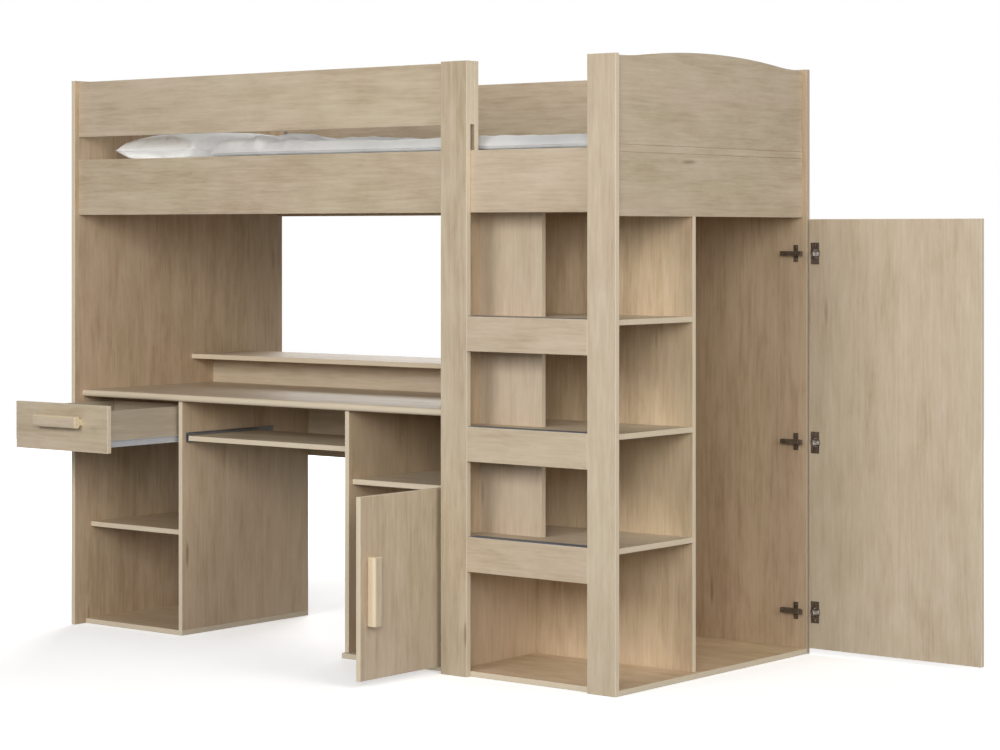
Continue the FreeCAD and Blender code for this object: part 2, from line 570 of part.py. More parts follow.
def make_pedestal_door():
    """The cupboard door, inset between the sides and standing open, with handle and hinges."""
    edge = f"({RIGHT_SIDE_IN} - door_gap)"
    face = f"({edge} - panel)"
    door = board("pedestal_door", (face, OPEN_DOOR_FRONT, "pedestal_door_low"),
                 ("panel", PEDESTAL_DOOR_WIDTH, "pedestal_door_high"), "YZ")
    spots = [(f"{PEDESTAL_DOOR_WIDTH} - cup_inset", f"{z} - pedestal_door_low") for z in PEDESTAL_HINGES]
    drill(door, "YZ", "0", True, spots, "cup_radius + cup_play", "cup_deep + cup_play")
    make_handle("pedestal_door_handle",
                (edge, f"{OPEN_DOOR_FRONT} + handle_edge + handle_wide / 2", "pedestal_handle_low"),
                Rotation(Vector(0, -1, 0), Vector(1, 0, 0), Vector(0, 0, 1), "XYZ"))
    cups = []
    arms = []
    centre = "(pedestal_front + 2 * pivot_inset - cup_inset)"
    for z in PEDESTAL_HINGES:
        flange_at = (f"{face} - flange_thick", f"{centre} - flange_wide / 2",
                     f"{z} - flange_high / 2")
        flange_size = ("flange_thick", "flange_wide", "flange_high")
        cheeks = [((f"{face} - cheek_out", f"{centre} - cheek_far", f"{z} {side}"),
                   ("cheek_long", "cheek_wide", "cheek_thick")) for side in CHEEK_SIDES]
        cups.append(make_hinge_cup((face, centre, z), Vector(1, 0, 0), flange_at, flange_size, cheeks))
        wall = RIGHT_SIDE_IN
        plate = block((f"{wall} - wing_thick", "pedestal_front + inset_wing_start",
                       f"{z} - wing_high / 2"), ("wing_thick", "wing_wide", "wing_high"))
        arm = block((f"{wall} - inset_arm_out", "pedestal_front + inset_arm_start", f"{z} - arm_half"),
                    ("inset_arm_out - wing_thick", "inset_arm_long", "2 * arm_half"))
        crank = block((f"{wall} - crank_out", "pedestal_front + inset_arm_start", f"{z} - arm_half"),
                      ("crank_wide", "crank_thick", "2 * arm_half"))
        nose = block((f"{wall} - crank_out", "pedestal_front + inset_nose_start", f"{z} - arm_half"),
                     ("inset_nose_thick", "inset_nose_long", "2 * arm_half"))
        arms.append(joined([plate, arm, crank, nose]))
    group("pedestal_hinge_cups", cups)
    group("pedestal_hinge_arms", arms)


# ---- drawer and keyboard tray ----

def channel(front, low, long, high, web_at, lip_at):
    """A C-shaped rail: an upright web with a lip along its top and its bottom."""
    web = block((web_at, front, low), ("rail_sheet", long, high))
    lips = [block((lip_at, front, z), ("rail_lip", long, "rail_sheet"))
            for z in (low, f"{low} + {high} - rail_sheet")]
    return joined([web] + lips)


def rail_pair(walls, space, front, low, long, high, moving):
    """Left and right rails of a slide: fixed ones on the walls, moving ones nested inside."""
    left, right = walls
    base = f"({low} + rail_nest)" if moving else low
    tall = f"({high} - 2 * rail_nest)" if moving else high
    if moving:
        left_web, right_web = f"{left} + {space} - rail_sheet", f"{right} - {space}"
        left_lip, right_lip = f"{left} + {space} - rail_lip", f"{right} - {space}"
    else:
        left_web, right_web = left, f"{right} - rail_sheet"
        left_lip, right_lip = left, f"{right} - rail_lip"
    return [channel(front, base, long, tall, left_web, left_lip),
            channel(front, base, long, tall, right_web, right_lip)]


def make_drawer():
    """The pedestal drawer, pulled out: a front with a handle on a box between two rails."""
    left = "(panel + drawer_gap)"
    wide = "(left_pedestal_width - panel - 2 * drawer_gap)"
    box_left = "(panel + rail_space)"
    box_right = "(left_pedestal_width - rail_space)"
    box_front = f"({DRAWER_FACE} + panel)"
    inner = f"({box_right} - {box_left} - 2 * drawer_side)"
    board("drawer_front", (left, DRAWER_FACE, "drawer_front_low"),
          (wide, "panel", "drawer_front_high"), "XZ")
    make_handle("drawer_handle",
                (f"{left} + {wide} / 2 - handle_long / 2", DRAWER_FACE,
                 "drawer_front_low + drawer_front_high - drawer_handle_drop - handle_wide / 2"),
                Rotation(Vector(0, 0, 1), Vector(0, -1, 0), Vector(1, 0, 0), "XYZ"))
    side = ("drawer_side", "drawer_long", "drawer_side_high")
    board("drawer_left_side", (box_left, box_front, "drawer_side_low"), side, "YZ")
    board("drawer_right_side", (f"{box_right} - drawer_side", box_front, "drawer_side_low"), side, "YZ")
    board("drawer_back", (f"{box_left} + drawer_side", f"{box_front} + drawer_long - drawer_side",
                          "drawer_side_low"), (inner, "drawer_side", "drawer_side_high"), "XZ")
    board("drawer_bottom", (f"{box_left} + drawer_side", box_front, "drawer_side_low + drawer_base_lift"),
          (inner, "drawer_long - drawer_side", "drawer_base"))
    walls = ("panel", "left_pedestal_width")
    group("drawer_fixed_rails", rail_pair(walls, "rail_space", "pedestal_front + panel + rail_setback",
          "drawer_rail_low", "drawer_long", "drawer_rail_high", False))
    group("drawer_moving_rails", rail_pair(walls, "rail_space", box_front,
          "drawer_rail_low", "drawer_long", "drawer_rail_high", True))


def make_keyboard_tray():
    """The pull-out tray over the knee space, with its rails on the pedestals' sides."""
    left = "(left_pedestal_width + panel)"
    walls = (left, "right_pedestal_left")
    wide = f"(right_pedestal_left - {left} - 2 * tray_rail_space)"
    board("keyboard_tray", (f"{left} + tray_rail_space", "tray_front", "tray_low"),
          (wide, "tray_deep", "panel"))
    group("tray_fixed_rails", rail_pair(walls, "tray_rail_space", "tray_front",
          "tray_rail_low", "tray_rail_long", "tray_rail_high", False))
    group("tray_moving_rails", rail_pair(walls, "tray_rail_space", "tray_front",
          "tray_rail_low", "tray_deep", "tray_rail_high", True))


# ---- slats and bedding ----

def make_bed_base():
    """Ledgers along the rails and the slats that lie on them."""
    long = f"({HEADBOARD_INSIDE} - panel)"
    left_of_upright = "(ladder_left - panel)"
    right_of_upright = f"({POST_RIGHT} - panel)"
    corners = [("0", "0"), (left_of_upright, "0"), (left_of_upright, "plank"),
               (right_of_upright, "plank"), (right_of_upright, "0"), (long, "0"),
               (long, "ledger_wide"), ("0", "ledger_wide")]
    shaped_board("front_slat_ledger", ("panel", "2 * plank", "ledger_low"), corners, "ledger_high", "XY")
    board("rear_slat_ledger", ("panel", f"{REAR_RAIL_FRONT} - ledger_wide", "ledger_low"),
          (long, "ledger_wide", "ledger_high"))
    first = value("panel") + value("slat_end")
    pitch = value("slat_wide") + value("slat_gap")
    last = value("bed_length") - 2 * value("plank") - value("slat_wide")
    slats = []
    for number in range(int((last - first) / pitch) + 1):
        at = (f"panel + slat_end + {number} * (slat_wide + slat_gap)", "2 * plank + slat_inset",
              "ledger_low + ledger_high")
        deep = f"{REAR_RAIL_FRONT} - 2 * plank - 2 * slat_inset"
        slats.append(block(at, ("slat_wide", deep, "slat_thick")))
    group("bed_slats", slats)


def soft_block(label, at, size, radius):
    """A plain closed solid with rounded edges that holds a soft piece's place."""
    body = doc.addObject("PartDesign::Body", label)
    sketch = new_sketch(body, "XY", label + "_outline")
    draw_rectangle(sketch, size[0], size[1])
    feature = pad(body, sketch, "XY", size[2])
    rounding = body.newObject("PartDesign::Fillet", "Rounding")
    rounding.Base = (feature, [""])
    rounding.UseAllEdges = True
    bind(rounding, "Radius", radius)
    place(body, at)
    keep(body, label)


def make_bedding():
    """A mattress with a pillow at the end away from the ladder and a duvet over the rest."""
    soft_block("mattress", (MATTRESS_LEFT, MATTRESS_FRONT, SLAT_TOP),
               ("mattress_long", "mattress_wide", "mattress_thick"), "mattress_radius")
    top = f"({MATTRESS_TOP} + soft_gap)"
    soft_block("pillow", ("pillow_left", "pillow_front", top),
               ("pillow_wide", "pillow_long", "pillow_thick"), "pillow_radius")
    soft_block("duvet", ("duvet_left", MATTRESS_FRONT, top),
               (f"{MATTRESS_LEFT} + mattress_long - duvet_left", "mattress_wide", "duvet_thick"),
               "duvet_radius")


make_frame()
make_ladder()
make_unit()
make_desk()
make_left_pedestal()
make_right_pedestal()
make_wardrobe_door()
make_pedestal_door()
make_drawer()
make_keyboard_tray()
make_bed_base()
make_bedding()
doc.recompute()

for thing in doc.Objects:
    if "Invalid" in thing.State or "Error" in thing.State:
        raise RuntimeError(f"{thing.Label} did not rebuild: {thing.State}")
for feature in pockets:
    if feature.Shape.Volume >= feature.BaseFeature.Shape.Volume - 1:
        raise RuntimeError(f"{feature.Label} of {feature.Profile[0].Label} cut nothing")
for piece in subparts:
    if piece.Shape.isNull() or not piece.Shape.isValid() or not piece.Shape.Solids:
        raise RuntimeError(f"{piece.Label} has no valid solid")

os.makedirs("parts", exist_ok=True)
for piece in subparts:
    piece.Shape.exportStep(f"parts/{piece.Label}.step")
whole = Part.makeCompound([piece.Shape for piece in subparts]).BoundBox
print(len(subparts), "pieces; box", whole)
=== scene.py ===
import json
import math

import bmesh
import bpy
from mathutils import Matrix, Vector, noise


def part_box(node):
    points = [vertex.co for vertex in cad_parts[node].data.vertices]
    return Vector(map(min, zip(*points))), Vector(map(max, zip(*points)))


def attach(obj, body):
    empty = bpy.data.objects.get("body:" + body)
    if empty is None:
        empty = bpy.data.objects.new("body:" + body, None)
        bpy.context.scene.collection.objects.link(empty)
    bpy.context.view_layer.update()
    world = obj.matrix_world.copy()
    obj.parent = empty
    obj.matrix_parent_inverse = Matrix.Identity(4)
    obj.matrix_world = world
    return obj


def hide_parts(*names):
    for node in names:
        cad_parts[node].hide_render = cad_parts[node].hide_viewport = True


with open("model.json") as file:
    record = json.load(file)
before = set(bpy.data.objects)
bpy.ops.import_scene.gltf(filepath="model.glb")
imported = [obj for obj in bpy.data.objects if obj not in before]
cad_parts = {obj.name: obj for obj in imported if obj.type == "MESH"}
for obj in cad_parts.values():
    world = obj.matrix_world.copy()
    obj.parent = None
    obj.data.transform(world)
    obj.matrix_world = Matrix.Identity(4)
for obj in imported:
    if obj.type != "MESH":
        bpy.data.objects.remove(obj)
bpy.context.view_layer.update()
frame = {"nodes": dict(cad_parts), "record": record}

NODES = frame["nodes"]
SLOT_OF = {row["node"]: row["material_slot"] for row in frame["record"]["subparts"]}
MM = 0.001
X, Y, Z = 0, 1, 2


def srgb(red, green, blue):
    """A linear colour from 8-bit sRGB values."""
    out = []
    for value in (red, green, blue):
        value /= 255
        out.append(value / 12.92 if value <= 0.04045 else ((value + 0.055) / 1.055) ** 2.4)
    return (*out, 1.0)


# ---- node helpers ----

class Tree:
    """A material's node tree, with short calls for the nodes used here."""

    def __init__(self, name):
        self.material = bpy.data.materials.new(name)
        self.material.use_nodes = True
        self.tree = self.material.node_tree
        self.tree.nodes.clear()
        self.coord = self.tree.nodes.new("ShaderNodeTexCoord")

    def put(self, socket, value):
        """Feed a socket from another socket or with a constant."""
        if isinstance(value, bpy.types.NodeSocket):
            self.tree.links.new(value, socket)
        else:
            socket.default_value = value

    def math(self, operation, a, b=0.0, clamp=False):
        node = self.tree.nodes.new("ShaderNodeMath")
        node.operation = operation
        node.use_clamp = clamp
        self.put(node.inputs[0], a)
        self.put(node.inputs[1], b)
        return node.outputs[0]

    def scaled(self, scale, offset=(0, 0, 0)):
        """Object coordinates, scaled along each axis and shifted."""
        node = self.tree.nodes.new("ShaderNodeMapping")
        node.vector_type = "POINT"
        self.put(node.inputs["Vector"], self.coord.outputs["Object"])
        node.inputs["Scale"].default_value = scale
        node.inputs["Location"].default_value = offset
        return node.outputs[0]

    def noise(self, vector, detail=2.0, roughness=0.5, distortion=0.0):
        node = self.tree.nodes.new("ShaderNodeTexNoise")
        self.put(node.inputs["Vector"], vector)
        for name, value in (("Scale", 1.0), ("Detail", detail), ("Roughness", roughness),
                            ("Distortion", distortion)):
            node.inputs[name].default_value = value
        return node.outputs[0]

    def voronoi(self, vector):
        node = self.tree.nodes.new("ShaderNodeTexVoronoi")
        self.put(node.inputs["Vector"], vector)
        node.inputs["Scale"].default_value = 1.0
        return node

    def spread(self, value, low, high, to_low=0.0, to_high=1.0, smooth=False):
        """Map the range low to high onto to_low to to_high, clamped."""
        node = self.tree.nodes.new("ShaderNodeMapRange")
        node.interpolation_type = "SMOOTHSTEP" if smooth else "LINEAR"
        for index, given in enumerate((value, low, high, to_low, to_high)):
            self.put(node.inputs[index], given)
        return node.outputs[0]

    def mix(self, factor, a, b, blend="MIX"):
        node = self.tree.nodes.new("ShaderNodeMix")
        node.data_type = "RGBA"
        node.blend_type = blend
        self.put(node.inputs[0], factor)
        self.put(node.inputs[6], a)
        self.put(node.inputs[7], b)
        return node.outputs[2]

    def object_normal(self, axis):
        """How squarely the surface faces along an axis, either way, 0 to 1."""
        node = self.tree.nodes.new("ShaderNodeSeparateXYZ")
        self.put(node.inputs[0], self.coord.outputs["Normal"])
        return self.math("ABSOLUTE", node.outputs[axis])

    def position(self, axis):
        """One object coordinate, in metres."""
        node = self.tree.nodes.new("ShaderNodeSeparateXYZ")
        self.put(node.inputs[0], self.coord.outputs["Object"])
        return node.outputs[axis]

    def finish(self, color, roughness, height=None, depth=0.0005, strength=0.3, **constants):
        """The shader and the output; constants go straight onto the shader's sockets."""
        shader = self.tree.nodes.new("ShaderNodeBsdfPrincipled")
        out = self.tree.nodes.new("ShaderNodeOutputMaterial")
        self.put(shader.inputs["Base Color"], color)
        self.put(shader.inputs["Roughness"], roughness)
        for name, value in constants.items():
            shader.inputs[name.replace("_", " ")].default_value = value
        if height is not None:
            bump = self.tree.nodes.new("ShaderNodeBump")
            bump.inputs["Strength"].default_value = strength
            bump.inputs["Distance"].default_value = depth
            self.put(bump.inputs["Height"], height)
            self.tree.links.new(bump.outputs[0], shader.inputs["Normal"])
        self.tree.links.new(shader.outputs[0], out.inputs["Surface"])
        return self.material


# ---- wood ----

OAK_LIGHT = srgb(205, 190, 168)
OAK_MID = srgb(190, 173, 149)
OAK_DARK = srgb(166, 147, 121)
OAK_MARK = srgb(128, 109, 86)
OAK_EDGE = srgb(217, 202, 177)
OAK_PINKER = srgb(196, 170, 148)
OAK_GREENER = srgb(186, 175, 140)
HANDLE_EDGE = srgb(222, 203, 170)
HANDLE_TONE = -0.6
# how much darker (above 0) or lighter the boards are in turn
BOARD_TONES = (0.0, 0.35, -0.3, 0.15, -0.15)


def oak(name, grain, thin, number, tone=0.0, edge=OAK_EDGE, painted_light_shade_tint=(1, 1, 1)):
    """Oak woodgrain along the grain axis, with plain banding on all but the faces across thin.

    number shifts the pattern, so that no two boards match; the tint multiplies the colour of all faces, as
    painted shade (browner) or painted light (paler) for how much light reaches the board.
    """
    t = Tree(name)
    offset = (number * 3.7 % 11, number * 5.3 % 13, number * 2.9 % 7)

    def along(slow, fast):
        scale = [fast] * 3
        scale[grain] = slow
        return t.scaled(tuple(scale), offset)

    bands = t.spread(t.noise(along(0.8, 6.5), 2.0, 0.5, 0.3), 0.32, 0.68)
    figure = t.spread(t.noise(along(3.0, 24), 4.0, 0.62, 0.55), 0.30, 0.70)
    streaks = t.spread(t.noise(along(6.5, 110), 4.0, 0.6, 0.25), 0.28, 0.72)
    fibres = t.spread(t.noise(along(16, 620), 2.0, 0.5), 0.30, 0.70)
    mottle = t.spread(t.noise(along(9, 22), 3.0, 0.6, 0.2), 0.34, 0.66)
    mix_of = t.math("MULTIPLY", bands, 0.18)
    for layer, share in ((figure, 0.28), (streaks, 0.30), (fibres, 0.10), (mottle, 0.18)):
        mix_of = t.math("ADD", mix_of, t.math("MULTIPLY", layer, share))
    darkness = t.math("ADD", mix_of, tone * 0.22, clamp=True)
    color = t.mix(t.spread(darkness, 0.20, 0.53), OAK_LIGHT, OAK_MID)
    color = t.mix(t.spread(darkness, 0.53, 0.84), color, OAK_DARK)
    # a slow drift between a pinker and a greener beige
    hue = t.spread(t.noise(along(1.1, 4.6), 2.0, 0.5), 0.36, 0.64)
    color = t.mix(0.2, color, t.mix(hue, OAK_PINKER, OAK_GREENER))
    # short dark marks and small knots, far apart
    cells = t.voronoi(along(2.3, 15))
    wobble = t.math("MULTIPLY", t.noise(along(9, 60), 2.0, 0.6), 0.14)
    mark = t.spread(t.math("ADD", cells.outputs["Distance"], wobble), 0.10, 0.19, 1.0, 0.0, True)
    kept = t.spread(t.noise(along(0.9, 3.1), 1.0), 0.5, 0.62)
    mark = t.math("MULTIPLY", mark, kept)
    color = t.mix(t.math("MULTIPLY", mark, 0.7), color, OAK_MARK)
    pores = t.spread(t.noise(along(26, 900), 1.0, 0.5), 0.63, 0.72)
    color = t.mix(t.math("MULTIPLY", pores, 0.32), color, OAK_DARK)
    # painted shade and painted light: the whole board's colour is tinted browner or paler to stand in for
    # how much light reaches it
    color = t.mix(1.0, color, (*painted_light_shade_tint, 1), "MULTIPLY")
    # edge banding: lighter and plainer
    broad = t.spread(t.object_normal(thin), 0.80, 0.96)
    banding = t.mix(t.math("MULTIPLY", streaks, 0.35), edge, OAK_MID)
    color = t.mix(broad, banding, color)
    rough = t.spread(streaks, 0, 1, 0.47, 0.56)
    height = t.math("ADD", t.math("MULTIPLY", fibres, 0.6), t.math("MULTIPLY", pores, -0.8))
    height = t.math("SUBTRACT", height, t.math("MULTIPLY", mark, 0.8))
    return t.finish(color, rough, height, 0.00025, 0.35, IOR=1.45)


def size_of(name):
    """A node's size along X, Y and Z."""
    low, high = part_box(name)
    return [high[axis] - low[axis] for axis in range(3)]


# ---- other CAD materials ----

def foil():
    """Beige foil of the drawer box, printed with fine level lines."""
    t = Tree("drawer_foil")
    lines = t.noise(t.scaled((14, 14, 620)), 2.0)
    soft = t.noise(t.scaled((5, 5, 60)), 3.0)
    color = t.mix(t.spread(lines, 0.3, 0.7), srgb(172, 157, 136), srgb(184, 171, 151))
    color = t.mix(t.math("MULTIPLY", t.spread(soft, 0.4, 0.6), 0.35), color, srgb(160, 144, 122))
    return t.finish(color, t.spread(soft, 0.3, 0.7, 0.5, 0.62), lines, 0.0001, 0.3)


def metal(name, base, worn, metallic, rough, brush=(30, 900, 900)):
    """Plated or coated metal with fine brushed lines and a few duller clouds."""
    t = Tree(name)
    lines = t.noise(t.scaled(brush), 2.0)
    cloud = t.noise(t.scaled((35, 35, 35)), 3.0)
    color = t.mix(t.spread(lines, 0.35, 0.65), base, worn)
    color = t.mix(t.math("MULTIPLY", t.spread(cloud, 0.45, 0.62), 0.35), color, base)
    return t.finish(color, t.spread(cloud, 0.35, 0.65, rough - 0.07, rough + 0.09), lines, 0.00005,
                    0.25, Metallic=metallic)


RIB_PITCH = 3.2 * MM


def grip():
    """Blue-grey anti-slip strip: fine ribs along the tread and a grained surface."""
    t = Tree("grip_ribs")
    ribs = t.math("SINE", t.math("MULTIPLY", t.position(Y), 2 * math.pi / RIB_PITCH))
    grain = t.noise(t.scaled((900, 900, 900)), 2.0)
    ribs = t.spread(ribs, -1, 1)
    color = t.mix(t.spread(grain, 0.35, 0.65), srgb(88, 91, 97), srgb(106, 109, 115))
    # painted highlight and painted shade: the rib crests are painted lighter and the grooves darker,
    # following the ribs' own relief
    color = t.mix(t.math("MULTIPLY", ribs, 0.4), color, srgb(122, 126, 133))
    return t.finish(color, t.spread(grain, 0.3, 0.7, 0.55, 0.75), t.math("ADD", ribs, grain), 0.0005, 0.6)


def pine():
    """Planed pine with its grain along Y."""
    t = Tree("slat_pine")
    vector = t.scaled((34, 1.6, 34))
    rings = t.noise(vector, 3.0, 0.6, 0.8)
    fine = t.noise(t.scaled((500, 9, 500)), 2.0)
    color = t.mix(t.spread(rings, 0.38, 0.62), srgb(226, 199, 155), srgb(205, 170, 121))
    color = t.mix(t.math("MULTIPLY", t.spread(fine, 0.35, 0.65), 0.3), color, srgb(190, 150, 102))
    return t.finish(color, t.spread(fine, 0.3, 0.7, 0.52, 0.64), fine, 0.0002, 0.3)


def cotton(name, light, shade, threads, sheen, crease=0.0):
    """Woven cotton: crossing threads, slight colour clouds and soft creases."""
    t = Tree(name)
    warp = t.math("SINE", t.math("MULTIPLY", t.position(X), threads * 2))
    weft = t.math("SINE", t.math("MULTIPLY", t.position(Y), threads * 2))
    weave = t.spread(t.math("MULTIPLY", warp, weft), -1, 1)
    slub = t.noise(t.scaled((60, 900, 60)), 2.0)
    cloud = t.noise(t.scaled((7, 7, 7)), 3.0)
    creases = t.noise(t.scaled((26, 14, 20)), 3.0, 0.55, 0.9)
    color = t.mix(t.spread(cloud, 0.38, 0.62), light, shade)
    color = t.mix(t.math("MULTIPLY", t.spread(slub, 0.4, 0.65), 0.18), color, shade)
    height = t.math("ADD", t.math("MULTIPLY", weave, 0.12), t.math("MULTIPLY", slub, 0.15))
    height = t.math("ADD", height, t.math("MULTIPLY", creases, 2.0 + crease))
    return t.finish(color, t.spread(slub, 0.3, 0.7, 0.82, 0.92), height, 0.0018, 0.35, Sheen_Weight=sheen)


FINISHES = {
    "drawer_box": foil(),
    "drawer_rail_metal": metal("rail_light", srgb(205, 207, 210), srgb(188, 190, 194), 0.35, 0.38),
    "tray_rail_metal": metal("rail_dark", srgb(150, 152, 155), srgb(120, 122, 126), 0.6, 0.42),
    "hinge_metal": metal("hinge_bronze", srgb(118, 104, 90), srgb(84, 73, 63), 0.45, 0.42, (200, 200, 30)),
    "cam_metal": metal("cam_zinc", srgb(176, 176, 178), srgb(150, 150, 153), 0.9, 0.42, (300, 300, 300)),
    "grip_strip": grip(),
    "slat_wood": pine(),
}
# boards whose grain doesn't run along their longest side
GRAIN = {"end_headboard": Y, "ladder_infill_panels": Z, "wardrobe_rear_panel": Z, "drawer_front": X,
         "left_pedestal_side": Z, "right_pedestal_left_side": Z, "right_pedestal_right_side": Z,
         "left_pedestal_base": X, "right_pedestal_base": X, "left_pedestal_shelf": X,
         "right_pedestal_shelf": X, "bookcase_shelf_1": X, "bookcase_shelf_2": X,
         "bookcase_shelf_3": X, "unit_base": X, "unit_top_board": X, "bookcase_divider": Z}
# boards painted browner as painted shade for the shaded interiors they sit in, and two boards painted paler
# as painted light
PAINTED_SHADE_BROWN = (1.0, 0.93, 0.86)
PAINTED_LIGHT_SHADE_TINTS = {name: PAINTED_SHADE_BROWN for name in ("wardrobe_rear_panel", "left_pedestal_side", "right_pedestal_left_side",
                                   "left_end_panel", "unit_left_side", "left_pedestal_base",
                                   "left_pedestal_shelf", "right_pedestal_right_side")}
# the divider and the unit's base are painted paler: painted light on these interior boards
PAINTED_LIGHT_SHADE_TINTS.update(bookcase_divider=(1.14, 1.08, 1.0), unit_base=(1.22, 1.14, 1.05))
# boards with edge banding of their own colour
EDGE = {"wardrobe_rear_panel": srgb(192, 176, 153)}
SOFT = {"mattress", "pillow", "duvet"}

for number, (name, thing) in enumerate(sorted(NODES.items())):
    slot = SLOT_OF[name]
    if name in SOFT:
        continue
    if slot in FINISHES:
        material = FINISHES[slot]
    else:
        size = size_of(name)
        # the infill panels are several boards in one node, so its box doesn't show which way is thin
        thin = Y if name == "ladder_infill_panels" else size.index(min(size))
        grain = GRAIN.get(name, size.index(max(size)))
        edge = EDGE.get(name, HANDLE_EDGE if slot == "oak_handle" else OAK_EDGE)
        tone = HANDLE_TONE if slot == "oak_handle" else BOARD_TONES[number % len(BOARD_TONES)]
        material = oak("oak_" + name, grain, thin, number + 1, tone, edge, PAINTED_LIGHT_SHADE_TINTS.get(name, (1, 1, 1)))
    thing.data.materials.clear()
    thing.data.materials.append(material)


# ---- making pieces ----

def mesh_object(name, bm, material, smooth=True):
    """A scene object made from a bmesh, which is freed."""
    mesh = bpy.data.meshes.new(name)
    bm.to_mesh(mesh)
    bm.free()
    thing = bpy.data.objects.new(name, mesh)
    bpy.context.scene.collection.objects.link(thing)
    mesh.materials.append(material)
    if smooth:
        mesh.shade_smooth()
    return thing


# ---- hinge details ----

BRIGHT = metal("bright_nickel", srgb(222, 218, 210), srgb(196, 192, 184), 0.35, 0.36, (300, 300, 40))


def turned(bm, profile, centre, axis, steps=24):
    """A round piece: a profile of radius and height pairs turned about an axis through centre."""
    frame_of = axis.to_track_quat("Z", "Y")
    rings = []
    for radius, height in profile:
        ring = []
        for step in range(steps):
            turn = 2 * math.pi * step / steps
            local = Vector((radius * math.cos(turn), radius * math.sin(turn), height))
            ring.append(bm.verts.new(centre + frame_of @ local))
        rings.append(ring)
    for lower, upper in zip(rings, rings[1:]):
        for k in range(steps):
            n = (k + 1) % steps
            bm.faces.new((lower[k], lower[n], upper[n], upper[k]))
    bm.faces.new(rings[-1])
    bm.faces.new(list(reversed(rings[0])))


def solids_of(name):
    """The box of each separate solid in a node, as pairs of corners."""
    mesh = NODES[name].data
    parent = list(range(len(mesh.vertices)))

    def root(k):
        while parent[k] != k:
            parent[k] = parent[parent[k]]
            k = parent[k]
        return k

    places = {}
    for k, vertex in enumerate(mesh.vertices):
        key = tuple(round(v, 5) for v in vertex.co)
        parent[k] = root(places.setdefault(key, k))
    for edge in mesh.edges:
        a, b = (root(k) for k in edge.vertices)
        parent[a] = b
    groups = {}
    for k, vertex in enumerate(mesh.vertices):
        groups.setdefault(root(k), []).append(vertex.co)
    boxes = []
    for found in groups.values():
        boxes.append((Vector([min(v[a] for v in found) for a in range(3)]),
                      Vector([max(v[a] for v in found) for a in range(3)])))
    return sorted(boxes, key=lambda box: tuple(round(v, 4) for v in box[0]))


CUP_REACH = 14.8 * MM
CUP_DEEP = 12 * MM
# the dish lies on the cup's floor, and is thin enough for the arm to clear it with the door closed
DISH_DEEP = 9.9 * MM
FLANGE_THICK = 1.2 * MM
WING_THICK = 2 * MM
CUP_SCREW_OUT = 25 * MM
ARM_SCREW_OUT = 18 * MM
# profiles as radius and height
DISH = ((CUP_REACH, 0.0), (CUP_REACH, 1.1 * MM), (CUP_REACH - 3 * MM, 0.5 * MM), (5 * MM, 0.5 * MM),
        (4 * MM, 1.1 * MM))
SCREW = ((3.6 * MM, 0.0), (3.6 * MM, 0.7 * MM), (2.7 * MM, 1.3 * MM), (1.4 * MM, 1.4 * MM),
         (1.1 * MM, 0.7 * MM))


def hinge_details(label, door_body, outward, wing_at):
    """A bright dish and two screws in each cup, and two screws on each arm's wings.

    The cups are let into the door against outward; wing_at is the wings' middle along the arm.
    """
    dishes, cup_screws, arm_screws = bmesh.new(), bmesh.new(), bmesh.new()
    across = 0 if outward.x else 1
    for low, high in solids_of(label + "_hinge_cups"):
        face = (low + high) / 2
        face[across] = high[across] - CUP_DEEP
        turned(dishes, DISH, face - outward * DISH_DEEP, outward)
        for side in (-CUP_SCREW_OUT, CUP_SCREW_OUT):
            turned(cup_screws, SCREW, face + outward * FLANGE_THICK + Vector((0, 0, side)), outward)
    for low, high in solids_of(label + "_hinge_arms"):
        wing = (low + high) / 2
        wing[across] = high[across]
        wing[1 - across] = low[1 - across] + wing_at
        for side in (-ARM_SCREW_OUT, ARM_SCREW_OUT):
            turned(arm_screws, SCREW, wing + outward * WING_THICK + Vector((0, 0, side)), outward)
    for name, bm, body in (("_cup_dishes", dishes, door_body), ("_cup_screws", cup_screws, door_body),
                           ("_arm_screws", arm_screws, "frame")):
        bmesh.ops.recalc_face_normals(bm, faces=bm.faces)
        material = BRIGHT if name == "_cup_dishes" else FINISHES["hinge_metal"]
        thing = mesh_object(label + name, bm, material, False)
        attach(thing, body)


hinge_details("wardrobe", "wardrobe_door", Vector((0, -1, 0)), 47 * MM)
hinge_details("pedestal", "pedestal_door", Vector((-1, 0, 0)), 70 * MM)


# ---- soft goods ----

def closed_sheet(columns, rows, top, bottom):
    """A closed body from two grids that share their rim: top and bottom take u and v, 0 to 1."""
    bm = bmesh.new()
    upper = [[bm.verts.new(top(i / columns, j / rows)) for j in range(rows + 1)] for i in range(columns + 1)]
    lower = []
    for i in range(columns + 1):
        line = []
        for j in range(rows + 1):
            rim = i in (0, columns) or j in (0, rows)
            line.append(upper[i][j] if rim else bm.verts.new(bottom(i / columns, j / rows)))
        lower.append(line)
    for i in range(columns):
        for j in range(rows):
            bm.faces.new((upper[i][j], upper[i + 1][j], upper[i + 1][j + 1], upper[i][j + 1]))
            bm.faces.new((lower[i][j], lower[i][j + 1], lower[i + 1][j + 1], lower[i + 1][j]))
    bmesh.ops.recalc_face_normals(bm, faces=bm.faces)
    return bm


